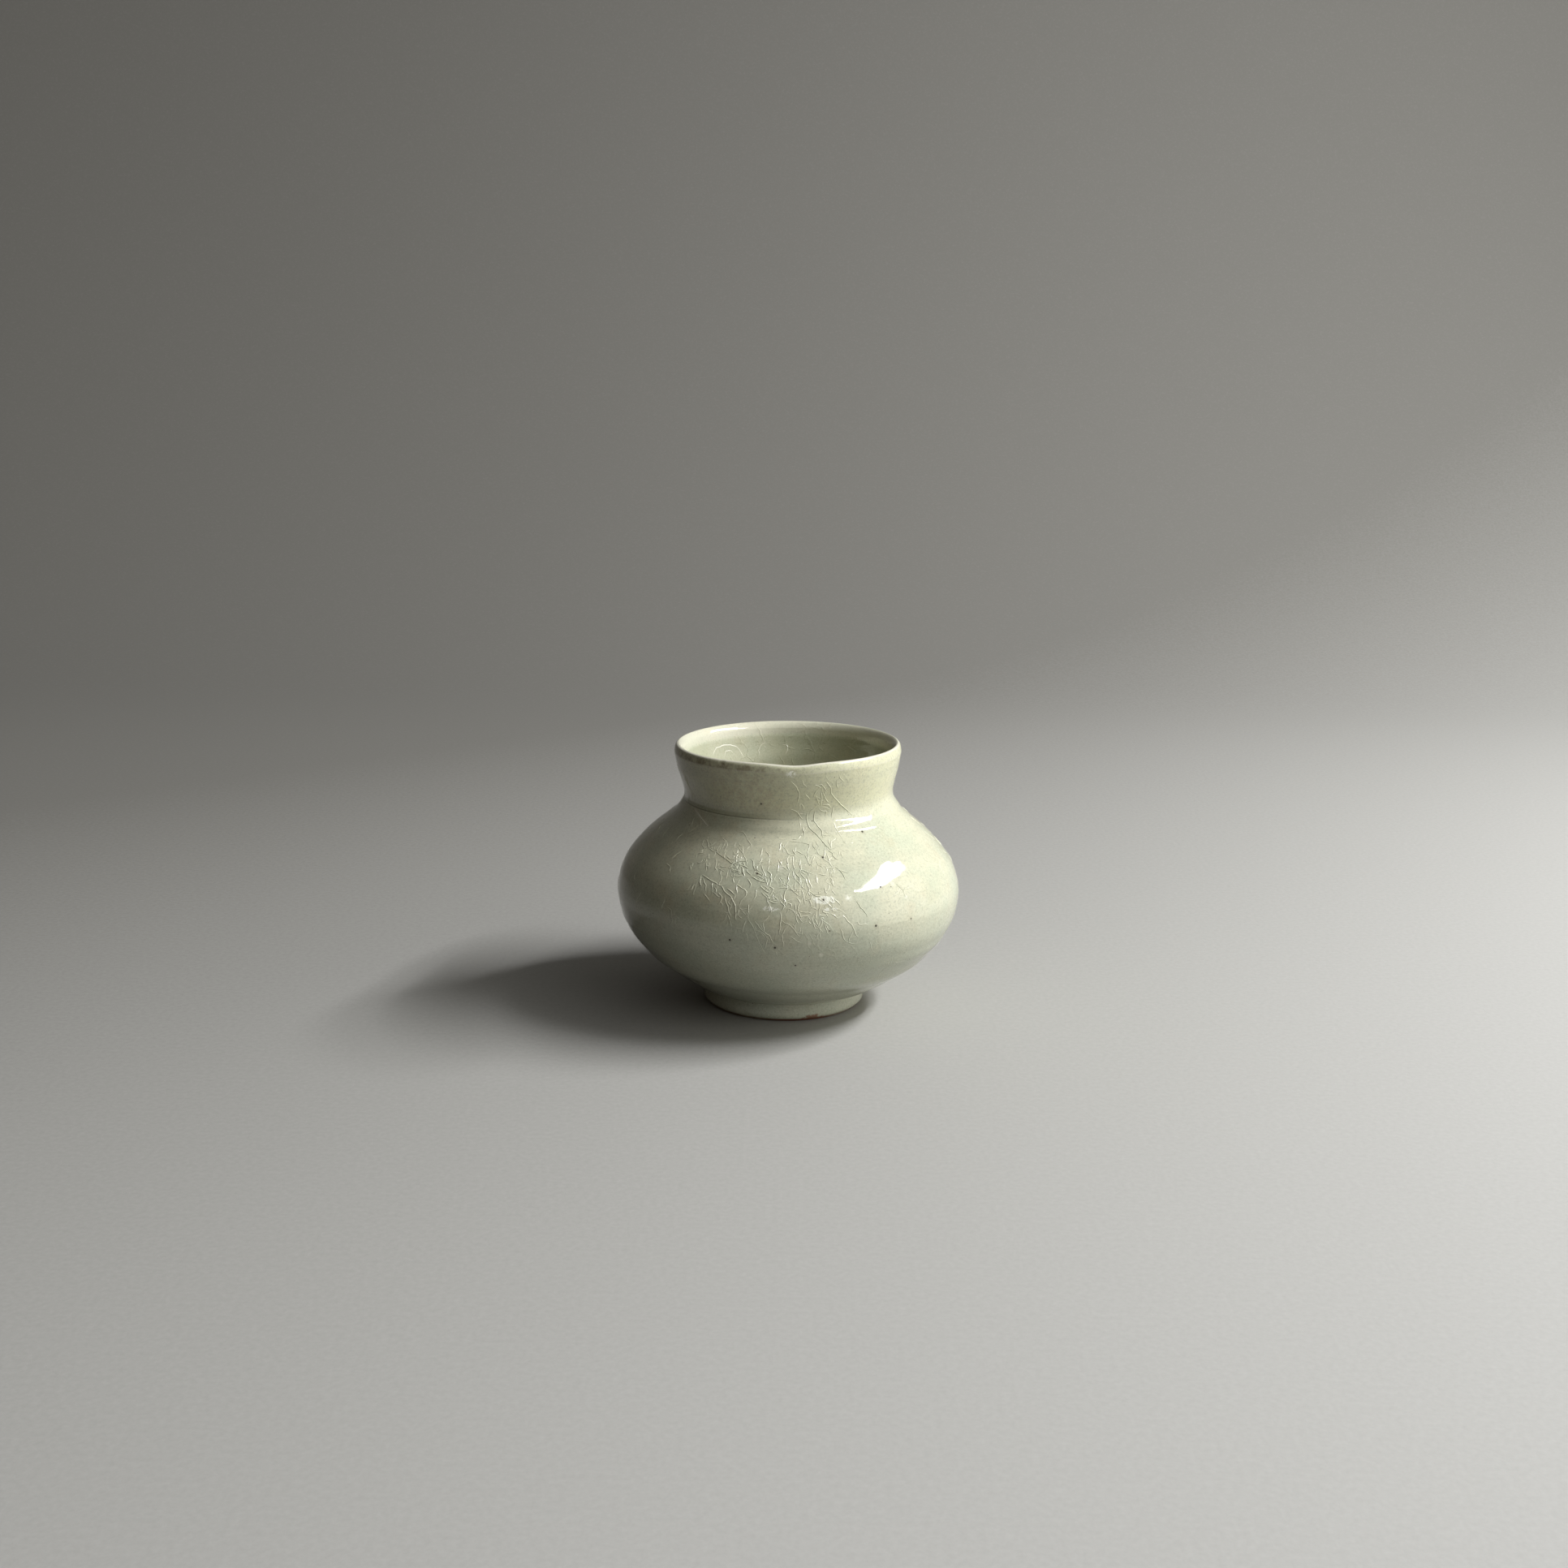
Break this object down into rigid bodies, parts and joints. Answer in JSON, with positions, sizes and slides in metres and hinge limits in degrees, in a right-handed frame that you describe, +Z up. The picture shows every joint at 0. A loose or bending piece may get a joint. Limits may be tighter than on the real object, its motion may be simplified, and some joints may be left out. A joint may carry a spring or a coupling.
{
  "type": "small porcelain jar",
  "caption": "Squat globular jar with a low flared collar on a turned foot ring, open at the mouth and glazed inside and out.",
  "frame": {"origin": "under the middle of the belly, on the plane that the foot ring stands on", "axes": "+Z up along the axis the jar was turned on, +X to the right and -Y towards the viewer in the reference picture"},
  "size_m": [0.1, 0.1, 0.078],
  "materials": {
    "clay": "matte, fired and unglazed",
    "glaze": "gloss, finely crackled"
  },
  "bodies": {
    "root": {"body_wall": "clay", "neck_collar": "clay", "foot_ring": "clay", "outer_glaze": "glaze", "inner_glaze": "glaze", "foot_well_glaze": "glaze"}
  },
  "joints": []
}
